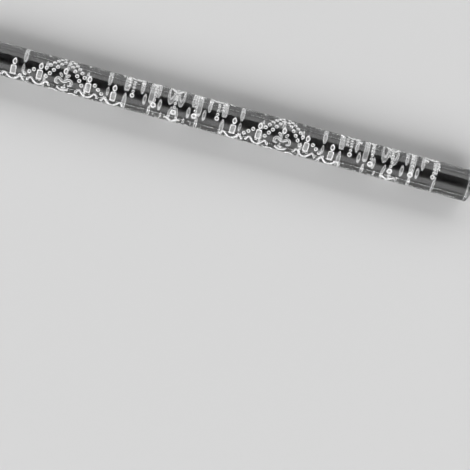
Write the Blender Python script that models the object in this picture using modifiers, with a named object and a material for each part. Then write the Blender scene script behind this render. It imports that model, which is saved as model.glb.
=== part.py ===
"""Acrylic rolling pin: one solid clear rod, engraved all round with candle chandeliers.

The rod lies along X. Its ornament is drawn flat first, on a label: x runs along the rod, y runs round it from the
line along its top, and z stands off its surface. Every pit and groove is a closed cutter on that label. The label
is then wound round the rod, and one Boolean cuts all of it out of the barrel.
"""

from math import ceil, cos, floor, pi, sin

import bmesh
import bpy
from mathutils import Matrix, Vector

# The rod. It is pin_diameter across its flat sides, each of which touches the true round.
pin_length = 0.320
pin_diameter = 0.020
end_round = 0.0012
rod_sides = 28
end_round_steps = 3

# The engraved field: columns of chandeliers, each column lower round the rod than the last.
plain_end = 0.024
field_edge_gap = 0.0011
motif_width = 0.0754
column_pitch = 0.0686
first_finial_turn_share = 0.3215
column_drop_share = 0.54

# The cuts.
bead_diameter = 0.0024
small_bead_diameter = 0.0019
large_bead_diameter = 0.0028
end_bead_diameter = 0.0035
bead_gap = 0.00035
bead_depth = 0.0010
stroke_width = 0.0016
stroke_depth = 0.0009
stroke_step = 0.0030
candle_width = 0.0035
candle_height = 0.0057
candle_depth = 0.0010
flame_width = 0.0026
flame_height = 0.0044
flame_depth = 0.0010
overrun = 0.0003
weld_share = 0.001
pit_sides = 5
candle_steps = 2
flame_shoulder_share = 0.25
flame_tip_share = 0.3

radius = pin_diameter / 2
turn = pi * pin_diameter
field_end = pin_length / 2 - plain_end
smooth_below = pi / 7

# Each place on the motif is a share of half its width and a share of one turn, down from the finial. Strokes that
# cross the middle are given from the middle outwards, and everything else is the right-hand one of a pair.
finial_shares = [(0, 0.035), (0.050, 0.005), (0.093, -0.013), (0.138, -0.014)]
crown_shares = [
    (0, 0.404),
    (0.027, 0.396),
    (0.050, 0.371),
    (0.088, 0.349),
    (0.133, 0.358),
    (0.149, 0.392),
    (0.122, 0.417),
    (0.090, 0.407),
]
bowl_shares = [(0, 0.493), (0.050, 0.482), (0.090, 0.452)]
tongue_shares = [(0, 0.635), (0.032, 0.614), (0.050, 0.535)]
vee_shares = [(0, 0.716), (0.064, 0.678), (0.114, 0.619)]
middle_strokes_shares = [finial_shares, crown_shares, bowl_shares, tongue_shares, vee_shares]

flare_shares = [(0.029, 0.334), (0.085, 0.301)]
outer_arm_shares = [
    (0.801, 0.563),
    (0.785, 0.618),
    (0.737, 0.662),
    (0.674, 0.676),
    (0.605, 0.656),
    (0.541, 0.611),
    (0.501, 0.560),
]
inner_arm_shares = [
    (0.430, 0.532),
    (0.427, 0.598),
    (0.403, 0.646),
    (0.342, 0.667),
    (0.281, 0.643),
    (0.257, 0.592),
    (0.236, 0.544),
    (0.175, 0.516),
    (0.117, 0.535),
    (0.093, 0.579),
]
side_strokes_shares = [flare_shares, outer_arm_shares, inner_arm_shares]

# A candle: its flame, stick and drip dish hang below each candle place, the outer one a little lower.
candle_place_shares = [(0.400, 0), (0.812, 0.041)]
flame_share = 0.275
stick_share = 0.377
dish_share = 0.471
dish_shares = [(0, 0.030), (0.048, 0.014), (0.112, -0.030), (0.158, -0.006), (0.162, 0.022)]
leaf_share = 0.271

# Bead strings: first and last bead of each.
fan_string_shares = [
    ((0.053, 0.108), (0.302, 0.274)),
    ((0.501, 0.337), (0.698, 0.433)),
    ((0.042, 0.172), (0.292, 0.372)),
]
drop_string_shares = [
    ((0.340, 0.703), (0.340, 0.858)),
    ((0.684, 0.721), (0.684, 0.842)),
    ((0.775, 0.707), (0.775, 0.783)),
    ((0.342, 0.567), (0.342, 0.608)),
    ((0.721, 0.576), (0.671, 0.619)),
    ((0.889, 0.589), (0.894, 0.635)),
]
middle_drop_shares = ((0, 0.764), (0, 0.875))
middle_bead_shares = [(0, 0.073), (0, 0.449)]
end_bead_shares = [(0.340, 0.910)]
middle_end_bead_share = 0.929
large_bead_shares = [(0.684, 0.887), (0.568, 0.711)]


def clear_scene():
    """Removes every object, so that only the pin is left."""
    for obj in list(bpy.data.objects):
        bpy.data.objects.remove(obj)


def new_collection(name):
    """A new collection in the scene."""
    collection = bpy.data.collections.new(name)
    bpy.context.scene.collection.children.link(collection)
    return collection


def acrylic():
    """Clear colourless cast acrylic with polished surfaces."""
    material = bpy.data.materials.new("clear_acrylic")
    material.use_nodes = True
    shader = material.node_tree.nodes["Principled BSDF"]
    shader.inputs["Base Color"].default_value = (0.94, 0.96, 0.97, 1)
    shader.inputs["Roughness"].default_value = 0.03
    shader.inputs["Metallic"].default_value = 0
    shader.inputs["IOR"].default_value = 1.49
    shader.inputs["Transmission Weight"].default_value = 1
    return material


def on_motif(shares, side=1):
    """A place given in shares, as a point on a motif whose finial is at the origin."""
    return Vector((side * shares[0] * motif_width / 2, -shares[1] * turn))


def mirrored(half_shares):
    """A whole stroke from the half that starts in the middle."""
    left = [on_motif(shares, -1) for shares in reversed(half_shares[1:])]
    return left + [on_motif(shares) for shares in half_shares]


def smooth_path(knots):
    """Points about a step apart along a smooth curve through the knots."""
    ends = [2 * knots[0] - knots[1], *knots, 2 * knots[-1] - knots[-2]]
    path = []
    for before, start, end, after in zip(ends, ends[1:], ends[2:], ends[3:]):
        count = max(1, round((end - start).length / stroke_step))
        for index in range(count):
            along = index / count
            bend = 2 * before - 5 * start + 4 * end - after
            twist = 3 * start - before - 3 * end + after
            path.append(start + ((end - before) * along + bend * along**2 + twist * along**3) / 2)
    return [*path, knots[-1]]


def within_field(path):
    """The part of a path that lies on the field, cut square at the field's end."""
    kept = []
    for point, following in zip(path, [*path[1:], path[-1]]):
        if abs(point.x) <= field_end:
            kept.append(point)
        if (abs(point.x) - field_end) * (abs(following.x) - field_end) < 0:
            share = (field_end - abs(point.x)) / (abs(following.x) - abs(point.x))
            kept.append(point.lerp(following, share))
    return kept


def add_pit(label, centre, width, height, depth):
    """A double cone, its lower point in the rod, with the given size where it meets the surface."""
    if abs(centre.x) + width / 2 > field_end:
        return []
    spread = (depth + overrun) / depth
    pit = bmesh.ops.create_uvsphere(label, u_segments=pit_sides, v_segments=2, radius=0.5)["verts"]
    bmesh.ops.scale(label, vec=(width * spread, height * spread, 2 * depth * spread), verts=pit)
    bmesh.ops.translate(label, vec=(centre.x, centre.y, overrun), verts=pit)
    return pit


def add_bead(label, centre, diameter):
    """A round pit, which prints one bead."""
    add_pit(label, centre, diameter, diameter, bead_depth)


def add_flame(label, centre):
    """A pit that narrows to a tip at its upper end."""
    pit = add_pit(label, centre, flame_width, flame_height, flame_depth)
    for vert in pit:
        if vert.co.y > centre.y + flame_height * flame_shoulder_share:
            vert.co.x = centre.x + (vert.co.x - centre.x) * flame_tip_share


def add_candle_stick(label, centre):
    """A flat-bottomed pit with four straight sides, divided so that it bends with the barrel."""
    if abs(centre.x) + candle_width / 2 > field_end:
        return
    stick = bmesh.ops.create_cube(label, size=1)["verts"]
    bmesh.ops.scale(label, vec=(candle_width, candle_height, candle_depth + overrun), verts=stick)
    bmesh.ops.translate(label, vec=(centre.x, centre.y, (overrun - candle_depth) / 2), verts=stick)
    edges = {edge for vert in stick for edge in vert.link_edges}
    tall = [edge for edge in edges if edge.verts[0].co.y != edge.verts[1].co.y]
    bmesh.ops.subdivide_edges(label, edges=tall, cuts=candle_steps - 1, use_grid_fill=True)


def add_groove(label, path):
    """A groove with a vee section along the path."""
    if len(path) < 2:
        return
    spread = (stroke_depth + overrun) / stroke_depth
    curve = bpy.data.curves.new("groove", "CURVE")
    curve.dimensions = "3D"
    curve.twist_mode = "Z_UP"
    curve.bevel_depth = stroke_width / 2 * spread
    curve.bevel_resolution = 0
    curve.use_fill_caps = True
    spline = curve.splines.new("POLY")
    spline.points.add(len(path) - 1)
    for point, place in zip(spline.points, path):
        point.co = (place.x, place.y, 0, 1)
    guide = bpy.data.objects.new("groove", curve)
    bpy.context.scene.collection.objects.link(guide)
    graph = bpy.context.evaluated_depsgraph_get()
    mesh = bpy.data.meshes.new_from_object(guide.evaluated_get(graph))
    deepened = Matrix.Scale(stroke_depth / (stroke_width / 2), 4, (0, 0, 1))
    mesh.transform(Matrix.Translation((0, 0, overrun)) @ deepened)
    label.from_mesh(mesh)
    bpy.data.objects.remove(guide)
    bpy.data.curves.remove(curve)
    bpy.data.meshes.remove(mesh)


def add_string(label, place, ends, diameter):
    """Beads of one size, evenly spaced between two places and never closer than the bead gap."""
    first, last = ends
    gaps = max(1, floor((last - first).length / (diameter + bead_gap)))
    for index in range(gaps + 1):
        add_bead(label, place + first.lerp(last, index / gaps), diameter)


def add_candle(label, place, shares, side):
    """A flame over a stick over a drip dish."""
    top = place + on_motif(shares, side)
    add_flame(label, top + on_motif((0, flame_share)))
    add_candle_stick(label, top + on_motif((0, stick_share)))
    dish = top + on_motif((0, dish_share))
    add_groove(label, within_field([dish + point for point in smooth_path(mirrored(dish_shares))]))


def add_middle(label, place):
    """What stands on the motif's middle line."""
    for half_shares in middle_strokes_shares:
        add_groove(label, within_field([place + point for point in smooth_path(mirrored(half_shares))]))
    add_flame(label, place + on_motif((0, leaf_share)))
    for shares in middle_bead_shares:
        add_bead(label, place + on_motif(shares), small_bead_diameter)
    add_string(label, place, [on_motif(shares) for shares in middle_drop_shares], small_bead_diameter)
    add_bead(label, place + on_motif((0, middle_end_bead_share)), end_bead_diameter)


def add_side(label, place, side):
    """The candles, arms, strings and drops of one side of the motif."""
    for stroke_shares in side_strokes_shares:
        knots = [on_motif(shares, side) for shares in stroke_shares]
        add_groove(label, within_field([place + point for point in smooth_path(knots)]))
    for shares in candle_place_shares:
        add_candle(label, place, shares, side)
    for ends in fan_string_shares:
        add_string(label, place, [on_motif(shares, side) for shares in ends], bead_diameter)
    for ends in drop_string_shares:
        add_string(label, place, [on_motif(shares, side) for shares in ends], small_bead_diameter)
    for shares in end_bead_shares:
        add_bead(label, place + on_motif(shares, side), end_bead_diameter)
    for shares in large_bead_shares:
        add_bead(label, place + on_motif(shares, side), large_bead_diameter)


def flat_label():
    """All the cuts of the field, laid out flat."""
    label = bmesh.new()
    first_column = -field_end + field_edge_gap + motif_width / 2
    columns = 1 + ceil((field_end - motif_width / 2 - first_column) / column_pitch)
    for column in range(columns):
        turned = first_finial_turn_share + (column % 2) * column_drop_share
        place = Vector((first_column + column * column_pitch, turned * turn))
        add_middle(label, place)
        for side in (-1, 1):
            add_side(label, place, side)
    return label


def wind_round(label):
    """Winds the flat label round the rod."""
    for vert in label.verts:
        angle = vert.co.y / radius
        reach = radius + vert.co.z
        vert.co = Vector((vert.co.x, reach * sin(angle), reach * cos(angle)))


def engraving_cutter(collection):
    """The wound label as one object that the rod is cut by."""
    label = flat_label()
    bmesh.ops.remove_doubles(label, verts=label.verts, dist=overrun * weld_share)
    wind_round(label)
    mesh = bpy.data.meshes.new("engraving_cutter")
    label.to_mesh(mesh)
    label.free()
    cutter = bpy.data.objects.new("engraving_cutter", mesh)
    cutter.hide_render = True
    cutter.display_type = "WIRE"
    collection.objects.link(cutter)
    return cutter


def engraved_rod(collection, cutter):
    """The rod: a round bar with rounded ends, less the engraving."""
    bpy.ops.mesh.primitive_cylinder_add(
        vertices=rod_sides, radius=radius / cos(pi / rod_sides), depth=pin_length, end_fill_type="NGON"
    )
    rod = bpy.context.object
    rod.name = rod.data.name = "engraved_rod"
    for other in list(rod.users_collection):
        other.objects.unlink(rod)
    collection.objects.link(rod)
    lie_along_x = Matrix.Rotation(pi / 2, 4, "Y") @ Matrix.Rotation(pi / rod_sides, 4, "Z")
    rod.data.transform(lie_along_x)
    rounding = rod.modifiers.new("end_rounding", "BEVEL")
    rounding.width = end_round
    rounding.segments = end_round_steps
    rounding.limit_method = "ANGLE"
    rounding.angle_limit = pi / 4
    engraving = rod.modifiers.new("engraving", "BOOLEAN")
    engraving.operation = "DIFFERENCE"
    engraving.solver = "EXACT"
    engraving.use_self = True
    engraving.object = cutter
    rod.modifiers.new("triangles", "TRIANGULATE")
    rod.data.materials.append(acrylic())
    rod.data.shade_smooth()
    return rod


def sharpened(rod):
    """Makes the cut rod a plain mesh, smooth round the barrel and sharp at the rims of the cuts."""
    graph = bpy.context.evaluated_depsgraph_get()
    rod.data = bpy.data.meshes.new_from_object(rod.evaluated_get(graph))
    rod.modifiers.clear()
    rod.data.set_sharp_from_angle(angle=smooth_below)


def main():
    """Builds the pin."""
    clear_scene()
    parts = new_collection("acrylic_rolling_pin")
    cutters = new_collection("cutters")
    rod = engraved_rod(parts, engraving_cutter(cutters))
    sharpened(rod)


main()
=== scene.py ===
"""Looks of a clear acrylic rolling pin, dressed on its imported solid.

The rod is rebuilt finer than its solid: a truly round barrel with rounded ends, and an ornament of candle
chandeliers cut into it as pockets with curved walls and level floors. The ornament is drawn on a flat label
first, x along the rod and y round it from the line along its top. The label is then wound round the barrel
and cut out of it. What is left is dressed as polished acrylic outside and cut acrylic in the pockets.

Lengths are in metres and angles in radians, except in the sky, whose angles are in degrees.
"""

from __future__ import annotations

import logging
from collections.abc import Sequence
from dataclasses import dataclass, field
from enum import Enum
from math import ceil, cos, floor, pi, radians, sin

import bmesh
import bpy
from mathutils import Matrix, Vector


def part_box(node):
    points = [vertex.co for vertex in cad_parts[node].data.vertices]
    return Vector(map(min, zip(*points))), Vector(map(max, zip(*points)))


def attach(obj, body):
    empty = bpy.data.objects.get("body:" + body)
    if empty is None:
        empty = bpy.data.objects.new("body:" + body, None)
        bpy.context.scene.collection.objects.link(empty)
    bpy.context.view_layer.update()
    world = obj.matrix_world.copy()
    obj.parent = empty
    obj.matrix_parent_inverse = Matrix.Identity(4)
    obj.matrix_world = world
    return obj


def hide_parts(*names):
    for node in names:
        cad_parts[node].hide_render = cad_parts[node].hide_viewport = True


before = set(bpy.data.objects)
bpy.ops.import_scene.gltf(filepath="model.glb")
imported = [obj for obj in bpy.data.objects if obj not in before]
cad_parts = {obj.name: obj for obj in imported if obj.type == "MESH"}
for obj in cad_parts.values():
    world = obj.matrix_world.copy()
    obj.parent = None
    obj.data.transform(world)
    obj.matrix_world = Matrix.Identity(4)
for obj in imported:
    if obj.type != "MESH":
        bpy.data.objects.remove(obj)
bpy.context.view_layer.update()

log = logging.getLogger("rolling_pin")

Shares = tuple[float, float]
Stroke = Sequence[Shares]
Colour = tuple[float, float, float, float]

SAME_PLACE = 1e-7


class Surface(Enum):
    """The rod's kinds of surface. The value is the place of its material on the piece."""

    POLISHED = 0
    POCKET_FLOOR = 1
    POCKET_WALL = 2


@dataclass(frozen=True)
class Section:
    """The section of a cut, from the middle of its floor out to its rim.

    Attributes:
        shares: places on half of it, each a share of half the width and a share of the depth.
        overrun: how far the cut is carried on above the surface.
    """

    shares: tuple[Shares, ...] = ((0.0, 1.0), (0.4, 1.0), (0.54, 0.95), (0.78, 0.6), (1.0, 0.0))
    overrun: float = 0.0003

    def half(self, half_width: float, depth: float) -> list[Vector]:
        """The section at its real size, from the floor's middle up past the rim to the middle above it.

        Args:
            half_width: half the width at the surface.
            depth: the depth of the floor.

        Returns:
            Points with x across and z off the surface.
        """
        points = [Vector((across * half_width, 0, -down * depth)) for across, down in self.shares]
        wall = points[-1] - points[-2]
        lip = points[-1] + wall * (self.overrun / wall.z)
        return [*points[:-1], lip, Vector((0, 0, lip.z))]


@dataclass(frozen=True)
class Cut:
    """The size of one kind of cut.

    Attributes:
        width: along the rod, at the surface.
        height: round the rod, at the surface.
        depth: of its floor.
    """

    width: float
    height: float
    depth: float

    @classmethod
    def bead(cls, diameter: float, depth: float = 0.0009) -> Cut:
        """A round cut.

        Args:
            diameter: its width at the surface.
            depth: the depth of its floor.

        Returns:
            The cut's size.
        """
        return cls(diameter, diameter, depth)


def finished(sheet: bmesh.types.BMesh, name: str) -> bpy.types.Mesh:
    """Finishes a closed mesh: doubles merged, faces outward.

    Args:
        sheet: the mesh being made, which is freed.
        name: the name of the result.

    Returns:
        The finished mesh.
    """
    bmesh.ops.remove_doubles(sheet, verts=sheet.verts, dist=SAME_PLACE)
    bmesh.ops.recalc_face_normals(sheet, faces=sheet.faces)
    if sheet.calc_volume(signed=True) < 0:
        bmesh.ops.reverse_faces(sheet, faces=sheet.faces)
    mesh = bpy.data.meshes.new(name)
    sheet.to_mesh(mesh)
    sheet.free()
    return mesh


@dataclass
class CutterKit:
    """Makes the closed cutters that the label is drawn with, each round its own middle.

    Attributes:
        section: the section that every cut has.
        bead_steps: sides of a round cut.
        corner_steps: sides of a rounded corner.
        groove_step: how far a groove runs between its sections.
        tallest_face: how far one face of a straight cut may run round the barrel.
        tight_share: the least radius at which a groove bends at its full width, as a share of half of it.
        least_bend: the angle below which a path counts as straight.
        least_width_share: how wide a groove stays at its ends and in tight bends.
        least_depth_share: how deep it stays there.
    """

    section: Section = Section()
    bead_steps: int = 18
    corner_steps: int = 4
    groove_step: float = 0.0005
    tallest_face: float = 0.0005
    tight_share: float = 1.7
    least_bend: float = 0.001
    least_width_share: float = 0.25
    least_depth_share: float = 0.6

    def round_cut(self, cut: Cut, tip_share: float = 1.0) -> bpy.types.Mesh:
        """A turned cutter, drawn in towards its upper end when it has a tip.

        Args:
            cut: its size.
            tip_share: how wide it stays at its upper end.

        Returns:
            The cutter.
        """
        sheet = bmesh.new()
        points = [sheet.verts.new(point) for point in self.section.half(0.5, cut.depth)]
        edges = [sheet.edges.new(pair) for pair in zip(points, points[1:])]
        bmesh.ops.spin(
            sheet, geom=points + edges, cent=(0, 0, 0), axis=(0, 0, 1), dvec=(0, 0, 0), angle=2 * pi,
            steps=self.bead_steps, use_merge=True, use_normal_flip=False, use_duplicate=False,
        )
        for vert in sheet.verts:
            narrowed = 1 - (1 - tip_share) * max(0.0, 2 * vert.co.y) ** 2
            vert.co.x *= cut.width * narrowed
            vert.co.y *= cut.height
        return finished(sheet, "round_cut")

    def straight_cut(self, cut: Cut, corner: float, slope: float) -> bpy.types.Mesh:
        """A cutter with four straight sides, divided so that it bends with the barrel.

        Args:
            cut: its size.
            corner: the radius of its upright corners.
            slope: how far half of the section reaches in from each side.

        Returns:
            The cutter.
        """
        sheet = bmesh.new()
        levels = self.section.half(slope, cut.depth)[1:-1]
        low, high = levels[0].z, levels[-1].z
        bmesh.ops.create_cube(sheet, size=1)
        bmesh.ops.scale(sheet, vec=(cut.width, cut.height, high - low), verts=sheet.verts)
        bmesh.ops.translate(sheet, vec=(0, 0, (low + high) / 2), verts=sheet.verts)
        upright = [edge for edge in sheet.edges if edge.verts[0].co.z * edge.verts[1].co.z < 0]
        bmesh.ops.bevel(
            sheet, geom=upright, offset=corner, offset_type="OFFSET", affect="EDGES",
            segments=self.corner_steps, profile=0.5, material=-1, clamp_overlap=True,
        )
        for level in levels[1:-1]:
            self._divide(sheet, Vector((0, 0, level.z)))
        for vert in sheet.verts:
            level = min(levels, key=lambda point: abs(point.z - vert.co.z))
            vert.co.x *= 1 - 2 * (slope - level.x) / cut.width
            vert.co.y *= 1 - 2 * (slope - level.x) / cut.height
        rows = ceil(cut.height / self.tallest_face)
        for row in range(1, rows):
            self._divide(sheet, Vector((0, cut.height * (row / rows - 0.5), 0)))
        return finished(sheet, "straight_cut")

    def groove(self, path: Sequence[Vector], width: float, depth: float) -> bpy.types.Mesh:
        """A cutter that follows a path, with rounded ends.

        Args:
            path: points on the label.
            width: of the groove at the surface.
            depth: of its floor.

        Returns:
            The cutter.
        """
        sheet = bmesh.new()
        half = self.section.half(width / 2, depth)
        other = [Vector((-point.x, 0, point.z)) for point in half[1:-1]]
        outline = [sheet.verts.new(point) for point in [*half[:-1], *reversed(other)]]
        face = sheet.faces.new(outline)
        places = self._places(path, width)
        bmesh.ops.transform(sheet, matrix=places[0], verts=face.verts)
        for index, (place, following) in enumerate(zip(places, places[1:])):
            made = bmesh.ops.extrude_face_region(sheet, geom=[face])["geom"]
            if index:
                bmesh.ops.delete(sheet, geom=[face], context="FACES_ONLY")
            face = next(item for item in made if isinstance(item, bmesh.types.BMFace))
            bmesh.ops.transform(sheet, matrix=following @ place.inverted(), verts=face.verts)
        return finished(sheet, "groove")

    def _places(self, path: Sequence[Vector], width: float) -> list[Matrix]:
        """Where the section stands along a path, narrowed towards both ends and in tight bends.

        Args:
            path: points on the label.
            width: of the groove, whose half is the reach of each rounded end.

        Returns:
            A transform for each point.
        """
        run = [0.0]
        for start, end in zip(path, path[1:]):
            run.append(run[-1] + (end - start).length)
        places = []
        for index, point in enumerate(path):
            back, on = path[max(index - 1, 0)], path[min(index + 1, len(path) - 1)]
            to_end = min(run[index], run[-1] - run[index]) / (width / 2)
            fullness = (1 - max(0.0, 1 - to_end) ** 2) ** 0.5
            if back != point != on:
                bend = max((point - back).angle(on - point), self.least_bend)
                fullness = min(fullness, (on - back).length / bend / width / self.tight_share)
            turned = Matrix.Rotation((on - back).angle_signed(Vector((0, 1))), 4, "Z")
            width_share = max(fullness, self.least_width_share)
            depth_share = max(fullness, self.least_depth_share)
            narrowed = Matrix.Diagonal((width_share, 1, depth_share, 1))
            places.append(Matrix.Translation((point.x, point.y, 0)) @ turned @ narrowed)
        return places

    def _divide(self, sheet: bmesh.types.BMesh, offset: Vector) -> None:
        """Divides a mesh along a plane.

        Args:
            sheet: the mesh.
            offset: where the plane is, straight out from the origin.
        """
        geometry = [*sheet.verts, *sheet.edges, *sheet.faces]
        bmesh.ops.bisect_plane(sheet, geom=geometry, plane_co=offset, plane_no=offset.normalized())


@dataclass
class Label:
    """The flat label of all the cuts.

    Attributes:
        field_end: how far the field reaches from the rod's middle. Cuts are cropped and strokes end there.
        steep: how far a face tilts before it counts as a wall.
        least_crop: how far a cut may pass the field's end.
        sheet: the label itself.
    """

    field_end: float
    steep: float = radians(30)
    least_crop: float = 0.00001
    sheet: bmesh.types.BMesh = field(default_factory=bmesh.new)

    def press(self, cutter: bpy.types.Mesh, place: Vector) -> bool:
        """Draws a cutter at a place, cropped where the field ends.

        Args:
            cutter: the cutter, which stays as it is.
            place: where its middle goes.

        Returns:
            Whether any of it lies on the field.
        """
        piece = bmesh.new()
        piece.from_mesh(cutter)
        bmesh.ops.translate(piece, vec=(place.x, place.y, 0), verts=piece.verts)
        for side in (-1, 1):
            reach = max((side * vert.co.x for vert in piece.verts), default=0)
            if reach > self.field_end + self.least_crop:
                self._crop(piece, side)
        pressed = bpy.data.meshes.new("pressed_cut")
        piece.to_mesh(pressed)
        self.sheet.from_mesh(pressed)
        piece.free()
        return len(pressed.polygons) > 0

    def _crop(self, piece: bmesh.types.BMesh, side: int) -> None:
        """Cuts a cutter square where the field ends.

        Args:
            piece: the cutter in its place.
            side: 1 for the field's right end, -1 for its left one.
        """
        geometry = [*piece.verts, *piece.edges, *piece.faces]
        end = Vector((side * self.field_end, 0, 0))
        bmesh.ops.bisect_plane(
            piece, geom=geometry, plane_co=end, plane_no=(side, 0, 0), clear_outer=True,
        )
        open_edges = [edge for edge in piece.edges if edge.is_boundary]
        if open_edges:
            bmesh.ops.holes_fill(piece, edges=open_edges, sides=0)

    def within(self, path: Sequence[Vector]) -> list[Vector]:
        """The part of a path that lies on the field, cut square at its end.

        Args:
            path: points on the label.

        Returns:
            The points that are left.
        """
        kept = []
        for point, following in zip(path, [*path[1:], path[-1]]):
            here, there = abs(point.x) - self.field_end, abs(following.x) - self.field_end
            if here <= 0:
                kept.append(point)
            if here * there < 0:
                kept.append(point.lerp(following, here / (here - there)))
        return kept

    def wound(self, radius: float) -> bpy.types.Mesh:
        """The label wound round the barrel.

        Args:
            radius: of the barrel.

        Returns:
            All the cutters as one mesh.
        """
        self.sheet.normal_update()
        for face in self.sheet.faces:
            wall = abs(face.normal.z) < cos(self.steep)
            face.material_index = (Surface.POCKET_WALL if wall else Surface.POCKET_FLOOR).value
        for vert in self.sheet.verts:
            angle = vert.co.y / radius
            reach = radius + vert.co.z
            vert.co = Vector((vert.co.x, reach * sin(angle), reach * cos(angle)))
        mesh = bpy.data.meshes.new("engraving_cutter")
        self.sheet.to_mesh(mesh)
        self.sheet.free()
        return mesh


@dataclass
class Chandelier:
    """One candle chandelier: strokes on its middle line, and on each side arms, candles and bead strings.

    Each place is a share of half the motif's width and a share of one turn, down from the finial. A candle's
    parts are measured from its place in the same way, and the stroke of its drip dish from the dish. Strokes
    that cross the middle are given from the middle outwards, and everything else is the right-hand one of a
    pair.

    Attributes:
        label: what it is drawn on.
        kit: what makes its cutters.
        turn: one turn round the barrel.
        width: its width along the rod, that the shares are taken of.
        drawn: how many cuts have been drawn.
        easings: how often a smooth path is eased.
        bead_gap: the least gap between the beads of a string.

    The others are the sizes and the places of its parts.
    """

    label: Label
    kit: CutterKit
    turn: float
    width: float = 0.0754
    drawn: int = 0
    easings: int = 4

    stroke_width: float = 0.0016
    stroke_depth: float = 0.0009
    candle: Cut = Cut(0.0035, 0.0064, 0.0010)
    candle_corner: float = 0.0008
    candle_slope: float = 0.0012
    flame: Cut = Cut(0.0028, 0.0044, 0.0010)
    flame_tip_share: float = 0.35
    bead: Cut = Cut.bead(0.0024)
    small_bead: Cut = Cut.bead(0.0019)
    large_bead: Cut = Cut.bead(0.0028)
    end_bead: Cut = Cut.bead(0.0035)
    bead_gap: float = 0.00035

    finial_shares: Stroke = ((0, 0.035), (0.050, 0.005), (0.093, -0.013), (0.138, -0.014))
    crown_shares: Stroke = (
        (0, 0.381), (0.036, 0.372), (0.072, 0.352), (0.114, 0.356),
        (0.132, 0.389), (0.107, 0.415), (0.075, 0.405),
    )
    bowl_shares: Stroke = ((0, 0.493), (0.050, 0.482), (0.090, 0.452))
    tongue_shares: Stroke = ((0, 0.623), (0.039, 0.601), (0.052, 0.534))
    vee_shares: Stroke = ((0, 0.696), (0.064, 0.661), (0.114, 0.609))

    flare_shares: Stroke = ((0.029, 0.334), (0.085, 0.301))
    outer_arm_shares: Stroke = (
        (0.801, 0.559), (0.785, 0.608), (0.737, 0.646), (0.674, 0.659),
        (0.605, 0.641), (0.541, 0.601), (0.501, 0.556),
    )
    inner_arm_shares: Stroke = (
        (0.430, 0.532), (0.427, 0.590), (0.403, 0.632), (0.342, 0.651), (0.281, 0.630),
        (0.257, 0.585), (0.236, 0.542), (0.175, 0.516), (0.117, 0.534), (0.093, 0.573),
    )

    candle_place_shares: Stroke = ((0.400, 0.006), (0.823, 0.026))
    flame_share: float = 0.281
    stick_share: float = 0.3725
    dish_share: float = 0.471
    dish_shares: Stroke = (
        (0, 0.026), (0.046, 0.014), (0.086, -0.030),
        (0.127, -0.056), (0.170, -0.034), (0.180, 0.008),
    )
    leaf_share: float = 0.271

    fan_shares: tuple[tuple[Shares, Shares], ...] = (
        ((0.053, 0.108), (0.312, 0.288)),
        ((0.501, 0.337), (0.698, 0.433)),
        ((0.042, 0.172), (0.292, 0.372)),
    )
    drop_shares: tuple[tuple[Shares, Shares], ...] = (
        ((0.340, 0.683), (0.340, 0.838)),
        ((0.705, 0.701), (0.705, 0.811)),
        ((0.775, 0.687), (0.775, 0.763)),
        ((0.342, 0.567), (0.342, 0.608)),
        ((0.721, 0.576), (0.671, 0.619)),
        ((0.889, 0.589), (0.894, 0.635)),
    )
    middle_drop_shares: tuple[Shares, Shares] = ((0, 0.744), (0, 0.855))
    middle_bead_shares: Stroke = ((0, 0.073), (0, 0.449))
    end_bead_shares: Shares = (0.340, 0.890)
    middle_end_bead_shares: Shares = (0, 0.909)
    large_bead_shares: Stroke = ((0.705, 0.852), (0.568, 0.691))

    def at(self, shares: Shares, side: int = 1) -> Vector:
        """A place on the motif, measured from its finial.

        Args:
            shares: the place as shares.
            side: 1 for the right-hand one of a pair, -1 for the left-hand one.

        Returns:
            The place as a point on the label.
        """
        return Vector((side * shares[0] * self.width / 2, -shares[1] * self.turn))

    def mirrored(self, half: Stroke) -> list[Vector]:
        """A whole stroke from the half that starts in the middle."""
        return [self.at(shares, -1) for shares in reversed(half[1:])] + [self.at(shares) for shares in half]

    def smooth(self, knots: Sequence[Vector], step: float) -> list[Vector]:
        """Points along a smooth curve through the knots, eased where it turns sharply.

        Args:
            knots: the points that it runs by.
            step: about how far apart the points are.

        Returns:
            The points, first and last knot among them.
        """
        ends = [2 * knots[0] - knots[1], *knots, 2 * knots[-1] - knots[-2]]
        path = []
        for before, start, end, after in zip(ends, ends[1:], ends[2:], ends[3:]):
            count = max(1, round((end - start).length / step))
            for index in range(count):
                along = index / count
                bend = 2 * before - 5 * start + 4 * end - after
                twist = 3 * start - before - 3 * end + after
                path.append(start + ((end - before) * along + bend * along**2 + twist * along**3) / 2)
        path.append(knots[-1])
        for _ in range(self.easings):
            inner = [(back + 2 * point + on) / 4 for back, point, on in zip(path, path[1:], path[2:])]
            path = [path[0], *inner, path[-1]]
        return path

    def draw(self, place: Vector) -> None:
        """Draws the whole motif on the label.

        Args:
            place: where its finial goes.
        """
        for half in (
            self.finial_shares, self.crown_shares, self.bowl_shares, self.tongue_shares, self.vee_shares,
        ):
            self._stroke(place, self.mirrored(half))
        leaf = self.kit.round_cut(self.flame, self.flame_tip_share)
        self._press(leaf, place + self.at((0, self.leaf_share)))
        for shares in self.middle_bead_shares:
            self._bead(place + self.at(shares), self.small_bead)
        self._string(place, [self.at(shares) for shares in self.middle_drop_shares], self.small_bead)
        self._bead(place + self.at(self.middle_end_bead_shares), self.end_bead)
        for side in (-1, 1):
            self._side(place, side)

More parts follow.
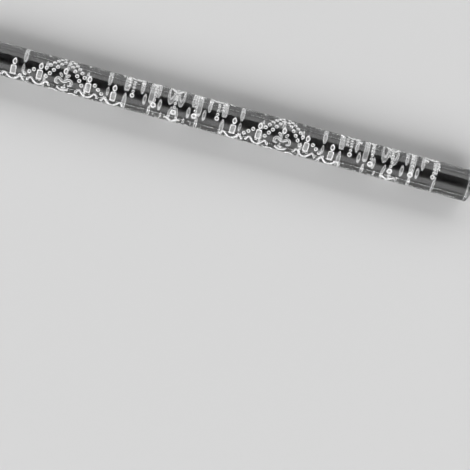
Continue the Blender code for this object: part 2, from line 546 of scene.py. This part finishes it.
    def _side(self, place: Vector, side: int) -> None:
        """Draws one side: its arms, candles, strings and drops.

        Args:
            place: where the finial is.
            side: 1 for the right-hand side, -1 for the left-hand one.
        """
        for stroke in (self.flare_shares, self.outer_arm_shares, self.inner_arm_shares):
            self._stroke(place, [self.at(shares, side) for shares in stroke])
        for shares in self.candle_place_shares:
            self._candle(place + self.at(shares, side))
        for ends in self.fan_shares:
            self._string(place, [self.at(shares, side) for shares in ends], self.bead)
        for ends in self.drop_shares:
            self._string(place, [self.at(shares, side) for shares in ends], self.small_bead)
        self._bead(place + self.at(self.end_bead_shares, side), self.end_bead)
        for shares in self.large_bead_shares:
            self._bead(place + self.at(shares, side), self.large_bead)

    def _candle(self, top: Vector) -> None:
        """Draws a flame over a stick over a drip dish.

        Args:
            top: the candle's place.
        """
        flame = self.kit.round_cut(self.flame, self.flame_tip_share)
        self._press(flame, top + self.at((0, self.flame_share)))
        stick = self.kit.straight_cut(self.candle, self.candle_corner, self.candle_slope)
        self._press(stick, top + self.at((0, self.stick_share)))
        self._stroke(top + self.at((0, self.dish_share)), self.mirrored(self.dish_shares))

    def _string(self, place: Vector, ends: Sequence[Vector], cut: Cut) -> None:
        """Draws beads of one size, evenly spaced between two places.

        Args:
            place: where the finial is.
            ends: the first and the last bead's place from the finial.
            cut: the size of a bead.
        """
        first, last = ends
        gaps = max(1, floor((last - first).length / (cut.width + self.bead_gap)))
        for index in range(gaps + 1):
            self._bead(place + first.lerp(last, index / gaps), cut)

    def _bead(self, place: Vector, cut: Cut) -> None:
        """Draws one bead.

        Args:
            place: its middle.
            cut: its size.
        """
        self._press(self.kit.round_cut(cut), place)

    def _stroke(self, place: Vector, knots: Sequence[Vector]) -> None:
        """Draws a groove along a smooth path, as far as the field goes.

        Args:
            place: what the knots are measured from.
            knots: the points that the stroke passes through.
        """
        path = self.label.within([place + point for point in self.smooth(knots, self.kit.groove_step)])
        if len(path) > 1:
            self._press(self.kit.groove(path, self.stroke_width, self.stroke_depth), Vector((0, 0)))

    def _press(self, cutter: bpy.types.Mesh, place: Vector) -> None:
        """Presses a cutter and counts it.

        Args:
            cutter: the cutter.
            place: where its middle goes.
        """
        self.drawn += self.label.press(cutter, place)


@dataclass
class EngravedRod:
    """The whole pin: one solid round rod with rounded ends and an engraved field.

    Attributes:
        low: the lowest corner of the solid that it stands for.
        high: the highest corner of it.
        sides: flat sides of the barrel's mesh, which is smooth to the light.
        end_round: the radius of its rounded rims.
        end_round_steps: sides of that rounding.
        end_tilt: how far a face of the flat ends may tilt.
        plain_end: how much of each end stays plain.
        field_edge_gap: from the field's left end to the first chandelier.
        column_pitch: from one column of the ornament to the next.
        first_finial_turn_share: where the first finial is, as a share of one turn from the top line.
        column_drop_share: how far every other column is turned from the rest, as a share of one turn.
    """

    low: Vector
    high: Vector
    sides: int = 192
    end_round: float = 0.0012
    end_round_steps: int = 6
    end_tilt: float = radians(1)
    plain_end: float = 0.0209
    field_edge_gap: float = 0.0034
    column_pitch: float = 0.0686
    first_finial_turn_share: float = 0.3215
    column_drop_share: float = 0.52

    @property
    def length(self) -> float:
        """Its length along X."""
        return self.high.x - self.low.x

    @property
    def radius(self) -> float:
        """Its radius, as the solid's height gives it."""
        return (self.high.z - self.low.z) / 2

    def build(self) -> bpy.types.Object:
        """Makes the rod with its engraving.

        Returns:
            The finished piece.
        """
        cutter = bpy.data.objects.new("engraving_cutter", self._engraving())
        rod = bpy.data.objects.new("clear_rod", self._plain_rod())
        for obj in (cutter, rod):
            bpy.context.scene.collection.objects.link(obj)
        for obj in (cutter, rod):
            for _ in Surface:
                obj.data.materials.append(None)
        engraving = rod.modifiers.new("engraving", "BOOLEAN")
        engraving.operation = "DIFFERENCE"
        engraving.solver = "EXACT"
        engraving.use_self = True
        engraving.object = cutter
        graph = bpy.context.evaluated_depsgraph_get()
        whole = bpy.data.meshes.new_from_object(rod.evaluated_get(graph))
        rod.modifiers.clear()
        rod.data = whole
        bpy.data.objects.remove(cutter)
        self._set_normals(whole)
        return rod

    def _plain_rod(self) -> bpy.types.Mesh:
        """The round bar with rounded ends.

        Returns:
            The bar before it is engraved.
        """
        sheet = bmesh.new()
        bmesh.ops.create_cone(
            sheet, cap_ends=True, cap_tris=False, segments=self.sides, radius1=self.radius,
            radius2=self.radius, depth=self.length, matrix=Matrix.Rotation(pi / 2, 4, "Y"),
        )
        rims = [edge for edge in sheet.edges if edge.verts[0].co.x * edge.verts[1].co.x > 0]
        bmesh.ops.bevel(
            sheet, geom=rims, offset=self.end_round, offset_type="OFFSET", affect="EDGES",
            segments=self.end_round_steps, profile=0.5, material=-1, clamp_overlap=True,
        )
        return finished(sheet, "plain_rod")

    def _engraving(self) -> bpy.types.Mesh:
        """Draws the ornament over the whole field and winds it round the barrel.

        Returns:
            All the cutters as one mesh.
        """
        turn = 2 * pi * self.radius
        field_end = self.length / 2 - self.plain_end
        label = Label(field_end)
        motif = Chandelier(label, CutterKit(), turn)
        first_column = -field_end + self.field_edge_gap + motif.width / 2
        columns = 1 + ceil((field_end - motif.width / 2 - first_column) / self.column_pitch)
        for column in range(columns):
            turned = self.first_finial_turn_share + (column % 2) * self.column_drop_share
            motif.draw(Vector((first_column + column * self.column_pitch, turned * turn)))
        log.info("engraving: %d cuts in %d columns", motif.drawn, columns)
        return label.wound(self.radius)

    def _outward(self, point: Vector) -> Vector:
        """The direction in which the rod's outside faces.

        Args:
            point: a point on its barrel or its rims.

        Returns:
            The direction there, of length 1.
        """
        straight = self.length / 2 - self.end_round
        side = Vector((0, point.y, point.z)).normalized()
        if abs(point.x) <= straight:
            return side
        centre = side * (self.radius - self.end_round)
        centre.x = straight if point.x > 0 else -straight
        return (point - centre).normalized()

    def _set_normals(self, mesh: bpy.types.Mesh) -> None:
        """Makes the outside truly round to the light, and the rims of the cuts sharp.

        Args:
            mesh: the cut rod.
        """
        sheet = bmesh.new()
        sheet.from_mesh(mesh)
        bmesh.ops.triangulate(sheet, faces=sheet.faces)
        for face in sheet.faces:
            face.smooth = True
        for edge in sheet.edges:
            polished = {face.material_index == Surface.POLISHED.value for face in edge.link_faces}
            edge.smooth = len(polished) == 1
        sheet.to_mesh(mesh)
        sheet.free()
        normals = [Vector((0, 0, 0))] * len(mesh.loops)
        for polygon in mesh.polygons:
            if polygon.material_index != Surface.POLISHED.value:
                continue
            flat_end = abs(polygon.normal.x) > cos(self.end_tilt)
            for loop in polygon.loop_indices:
                point = mesh.vertices[mesh.loops[loop].vertex_index].co
                normals[loop] = polygon.normal.copy() if flat_end else self._outward(point)
        mesh.normals_split_custom_set(normals)


class HandlingMarks:
    """The shader node group of hairlines and faint haze that every finish of the rod has.

    Inputs are Vector, Hairlines and Haze (how many to the metre), Smoothest and Roughest. Outputs are
    Roughness and Height.

    Attributes:
        name: of the group.
        round_share: how much less often the hairlines change round the rod than along it.
        hairline_detail: how many finer layers the hairlines have.
        haze_detail: how many the haze has.
        cleanest: the strength of both marks together below which a place is at its smoothest.
        dullest: the strength above which it is at its roughest.
    """

    name = "handling_marks"
    round_share = 0.04
    hairline_detail = 3
    haze_detail = 5
    cleanest = 0.12
    dullest = 0.45

    def __init__(self) -> None:
        """Builds the group."""
        self.tree = bpy.data.node_groups.new(self.name, "ShaderNodeTree")
        face = self.tree.interface
        face.new_socket("Vector", in_out="INPUT", socket_type="NodeSocketVector")
        for socket in ("Hairlines", "Haze", "Smoothest", "Roughest"):
            face.new_socket(socket, in_out="INPUT", socket_type="NodeSocketFloat")
        for socket in ("Roughness", "Height"):
            face.new_socket(socket, in_out="OUTPUT", socket_type="NodeSocketFloat")
        given = self.tree.nodes.new("NodeGroupInput")
        result = self.tree.nodes.new("NodeGroupOutput")
        around = self.tree.nodes.new("ShaderNodeMapping")
        around.inputs["Scale"].default_value = (1, self.round_share, self.round_share)
        self.link(given.outputs["Vector"], around.inputs["Vector"])
        hairlines = self._noise(around.outputs["Vector"], given.outputs["Hairlines"], self.hairline_detail)
        haze = self._noise(given.outputs["Vector"], given.outputs["Haze"], self.haze_detail)
        both = self.tree.nodes.new("ShaderNodeMath")
        both.operation = "MULTIPLY"
        self.link(hairlines, both.inputs[0])
        self.link(haze, both.inputs[1])
        spread = self.tree.nodes.new("ShaderNodeMapRange")
        spread.inputs["From Min"].default_value = self.cleanest
        spread.inputs["From Max"].default_value = self.dullest
        self.link(both.outputs["Value"], spread.inputs["Value"])
        self.link(given.outputs["Smoothest"], spread.inputs["To Min"])
        self.link(given.outputs["Roughest"], spread.inputs["To Max"])
        self.link(spread.outputs["Result"], result.inputs["Roughness"])
        self.link(hairlines, result.inputs["Height"])

    def link(self, start: bpy.types.NodeSocket, end: bpy.types.NodeSocket) -> None:
        """Joins an output to an input."""
        self.tree.links.new(start, end)

    def _noise(
        self, vector: bpy.types.NodeSocket, scale: bpy.types.NodeSocket, detail: float
    ) -> bpy.types.NodeSocket:
        """Adds a noise texture.

        Args:
            vector: where it is read.
            scale: how fine it is.
            detail: how many finer layers it has.

        Returns:
            Its value.
        """
        noise = self.tree.nodes.new("ShaderNodeTexNoise")
        noise.inputs["Detail"].default_value = detail
        self.link(vector, noise.inputs["Vector"])
        self.link(scale, noise.inputs["Scale"])
        return noise.outputs["Fac"]


@dataclass(frozen=True)
class Acrylic:
    """A finish of clear cast acrylic.

    Attributes:
        name: of the material.
        surface: where it goes on the rod.
        tint: what is left of the light after one surface.
        clearness: how much of the light passes through, where the rest is scattered.
        smoothest: roughness where it is cleanest.
        roughest: roughness on the marks.
        hairlines: fine marks to the metre.
        haze: patches of haze to the metre.
        relief: how deep the marks are.
        ior: how strongly it bends light.
    """

    name: str
    surface: Surface
    tint: Colour
    clearness: float
    smoothest: float
    roughest: float
    hairlines: float
    haze: float
    relief: float
    ior: float = 1.49

    def material(self, marks: HandlingMarks) -> bpy.types.Material:
        """Makes the material.

        Args:
            marks: the group of marks.

        Returns:
            The material.
        """
        material = bpy.data.materials.new(self.name)
        material.use_nodes = True
        nodes, links = material.node_tree.nodes, material.node_tree.links
        shader = nodes["Principled BSDF"]
        shader.inputs["Base Color"].default_value = self.tint
        shader.inputs["Transmission Weight"].default_value = self.clearness
        shader.inputs["IOR"].default_value = self.ior
        group = nodes.new("ShaderNodeGroup")
        group.node_tree = marks.tree
        group.inputs["Hairlines"].default_value = self.hairlines
        group.inputs["Haze"].default_value = self.haze
        group.inputs["Smoothest"].default_value = self.smoothest
        group.inputs["Roughest"].default_value = self.roughest
        places = nodes.new("ShaderNodeTexCoord")
        links.new(places.outputs["Object"], group.inputs["Vector"])
        bump = nodes.new("ShaderNodeBump")
        bump.inputs["Distance"].default_value = self.relief
        links.new(group.outputs["Height"], bump.inputs["Height"])
        links.new(group.outputs["Roughness"], shader.inputs["Roughness"])
        links.new(bump.outputs["Normal"], shader.inputs["Normal"])
        self._light_the_inside(material)
        return material

    def _light_the_inside(self, material: bpy.types.Material) -> None:
        """Lets light reach the cuts from inside the rod, which keeps its full shadow outside.

        Args:
            material: the material. Rays to a light pass it from its inner side only.
        """
        nodes, links = material.node_tree.nodes, material.node_tree.links
        path = nodes.new("ShaderNodeLightPath")
        side = nodes.new("ShaderNodeNewGeometry")
        passing = nodes.new("ShaderNodeBsdfTransparent")
        either = nodes.new("ShaderNodeMixShader")
        links.new(side.outputs["Backfacing"], passing.inputs["Color"])
        links.new(path.outputs["Is Shadow Ray"], either.inputs["Fac"])
        links.new(nodes["Principled BSDF"].outputs["BSDF"], either.inputs[1])
        links.new(passing.outputs["BSDF"], either.inputs[2])
        links.new(either.outputs["Shader"], nodes["Material Output"].inputs["Surface"])


POLISHED_BARREL = Acrylic(
    name="polished_acrylic", surface=Surface.POLISHED, tint=(0.985, 0.992, 0.992, 1), clearness=1,
    smoothest=0.0, roughest=0.03, hairlines=900, haze=60, relief=0.000002,
)
CLEAR_FLOOR = Acrylic(
    name="cut_acrylic_floor", surface=Surface.POCKET_FLOOR, tint=(0.98, 0.99, 0.99, 1), clearness=0.78,
    smoothest=0.1, roughest=0.25, hairlines=3000, haze=500, relief=0.000004,
)
FROSTED_WALL = Acrylic(
    name="cut_acrylic_wall", surface=Surface.POCKET_WALL, tint=(1, 1, 1, 1), clearness=0.15,
    smoothest=0.15, roughest=0.4, hairlines=5000, haze=900, relief=0.00001,
)


@dataclass(frozen=True)
class Sky:
    """A soft sky, dark overhead where the camera stands, with a broad and a narrow light on each side.

    Attributes:
        arch: angles in degrees across the rod from straight up, positive towards +Y, and the brightness
            there.
        ends: how bright it is in line with the rod.
        fade_from: how far from the arch's plane that begins, on a sphere of radius 1.
        fade_to: where it is reached.
    """

    arch: tuple[tuple[float, float], ...] = (
        (-90, 0.8), (-89, 10), (-85, 10), (-84, 0.6),
        (-70, 0.6), (-64, 2.8), (-35, 2.8), (-22, 0.5), (-12, 0.02),
        (41, 0.02), (43, 2.8), (68, 2.8), (74, 0.5),
        (84, 0.5), (85, 6), (89, 6), (90, 0.8),
    )
    ends: float = 0.8
    fade_from: float = 0.6
    fade_to: float = 0.9

    def build(self) -> None:
        """Makes the sky the scene's world."""
        world = bpy.data.worlds.new("studio_sky")
        world.use_nodes = True
        bpy.context.scene.world = world
        nodes, links = world.node_tree.nodes, world.node_tree.links
        brightest = max(brightness for _, brightness in self.arch)
        places = nodes.new("ShaderNodeTexCoord")
        parts = nodes.new("ShaderNodeSeparateXYZ")
        links.new(places.outputs["Generated"], parts.inputs["Vector"])
        angle = nodes.new("ShaderNodeMath")
        angle.operation = "ARCTAN2"
        links.new(parts.outputs["Y"], angle.inputs[0])
        links.new(parts.outputs["Z"], angle.inputs[1])
        across = self._range(nodes, -pi / 2, pi / 2)
        links.new(angle.outputs["Value"], across.inputs["Value"])
        ramp = nodes.new("ShaderNodeValToRGB")
        while len(ramp.color_ramp.elements) < len(self.arch):
            ramp.color_ramp.elements.new(1)
        for element, (degrees, brightness) in zip(ramp.color_ramp.elements, self.arch):
            element.position = (degrees + 90) / 180
            element.color = self._grey(brightness / brightest)
        links.new(across.outputs["Result"], ramp.inputs["Fac"])
        off_plane = nodes.new("ShaderNodeMath")
        off_plane.operation = "ABSOLUTE"
        links.new(parts.outputs["X"], off_plane.inputs[0])
        fade = self._range(nodes, self.fade_from, self.fade_to)
        links.new(off_plane.outputs["Value"], fade.inputs["Value"])
        blend = nodes.new("ShaderNodeMixRGB")
        blend.inputs["Color2"].default_value = self._grey(self.ends / brightest)
        links.new(fade.outputs["Result"], blend.inputs["Fac"])
        links.new(ramp.outputs["Color"], blend.inputs["Color1"])
        links.new(blend.outputs["Color"], nodes["Background"].inputs["Color"])
        nodes["Background"].inputs["Strength"].default_value = brightest

    def _range(self, nodes: bpy.types.Nodes, low: float, high: float) -> bpy.types.Node:
        """Adds a node that brings a range to 0 to 1.

        Args:
            nodes: where it goes.
            low: the value that becomes 0.
            high: the value that becomes 1.

        Returns:
            The node.
        """
        spread = nodes.new("ShaderNodeMapRange")
        spread.inputs["From Min"].default_value = low
        spread.inputs["From Max"].default_value = high
        return spread

    def _grey(self, value: float) -> Colour:
        """A grey as a colour."""
        return (value, value, value, 1)


@dataclass
class Studio:
    """A pale table top under a soft sky.

    Attributes:
        floor_level: the height of the table top.
        floor_radius: how far it reaches.
        floor_sides: sides of its disc.
        floor_colour: its colour.
        floor_roughness: how matt it is.
        sky: what lights it.
    """

    floor_level: float
    floor_radius: float = 32.0
    floor_sides: int = 64
    floor_colour: Colour = (0.62, 0.62, 0.62, 1)
    floor_roughness: float = 0.9
    sky: Sky = Sky()

    def build(self) -> bpy.types.Object:
        """Sets up the floor and the sky.

        Returns:
            The floor.
        """
        self.sky.build()
        bpy.context.scene.cycles.caustics_refractive = False
        bpy.context.scene.cycles.caustics_reflective = False
        sheet = bmesh.new()
        bmesh.ops.create_circle(sheet, cap_ends=True, segments=self.floor_sides, radius=self.floor_radius)
        bmesh.ops.translate(sheet, vec=(0, 0, self.floor_level), verts=sheet.verts)
        mesh = bpy.data.meshes.new("floor")
        sheet.to_mesh(mesh)
        sheet.free()
        mesh.materials.append(self._floor_material())
        floor_piece = bpy.data.objects.new("floor", mesh)
        bpy.context.scene.collection.objects.link(floor_piece)
        return floor_piece

    def _floor_material(self) -> bpy.types.Material:
        """Makes the matt pale finish of the table top.

        Returns:
            The material.
        """
        material = bpy.data.materials.new("matt_table_top")
        material.use_nodes = True
        shader = material.node_tree.nodes["Principled BSDF"]
        shader.inputs["Base Color"].default_value = self.floor_colour
        shader.inputs["Roughness"].default_value = self.floor_roughness
        return material


@dataclass(frozen=True)
class PhotoView:
    """The photograph's view: from above, level with the middle of the rod.

    Attributes:
        stand: where the camera stands.
        aim: the point on the rod's level that it looks at.
        roll: how far the rod slopes in the picture.
        lens: the focal length in millimetres.
    """

    stand: Vector = Vector((-0.0288, 0, 0.9))
    aim: Vector = Vector((0.0272, -0.0671, 0))
    roll: float = radians(15.22)
    lens: float = 111.9

    def build(self) -> bpy.types.Object:
        """Sets up the camera.

        Returns:
            The camera.
        """
        ahead = (self.aim - self.stand).normalized()
        right = ahead.cross(Vector((-sin(self.roll), cos(self.roll), 0))).normalized()
        turned = Matrix((right, right.cross(ahead), -ahead)).transposed().to_4x4()
        lens = bpy.data.cameras.new("photo_view")
        lens.lens = self.lens
        camera = bpy.data.objects.new("photo_view", lens)
        camera.matrix_world = Matrix.Translation(self.stand) @ turned
        bpy.context.scene.collection.objects.link(camera)
        bpy.context.scene.camera = camera
        return camera


def main() -> None:
    """Builds the rod, its finishes, the studio and the camera."""
    logging.basicConfig(level=logging.INFO, format="%(name)s: %(message)s")
    bpy.context.scene.view_settings.view_transform = "Standard"
    PhotoView().build()
    low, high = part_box("engraved_rod")
    rod = EngravedRod(Vector(low), Vector(high)).build()
    marks = HandlingMarks()
    for finish in (POLISHED_BARREL, CLEAR_FLOOR, FROSTED_WALL):
        rod.data.materials[finish.surface.value] = finish.material(marks)
    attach(rod, "root")
    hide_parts("engraved_rod")
    log.info("%s: %d triangles", rod.name, len(rod.data.polygons))
    floor_piece = Studio(low[2]).build()
    log.info("%s: a disc %.1f m across", floor_piece.name, floor_piece.dimensions.x)


if __name__ == "__main__":
    main()
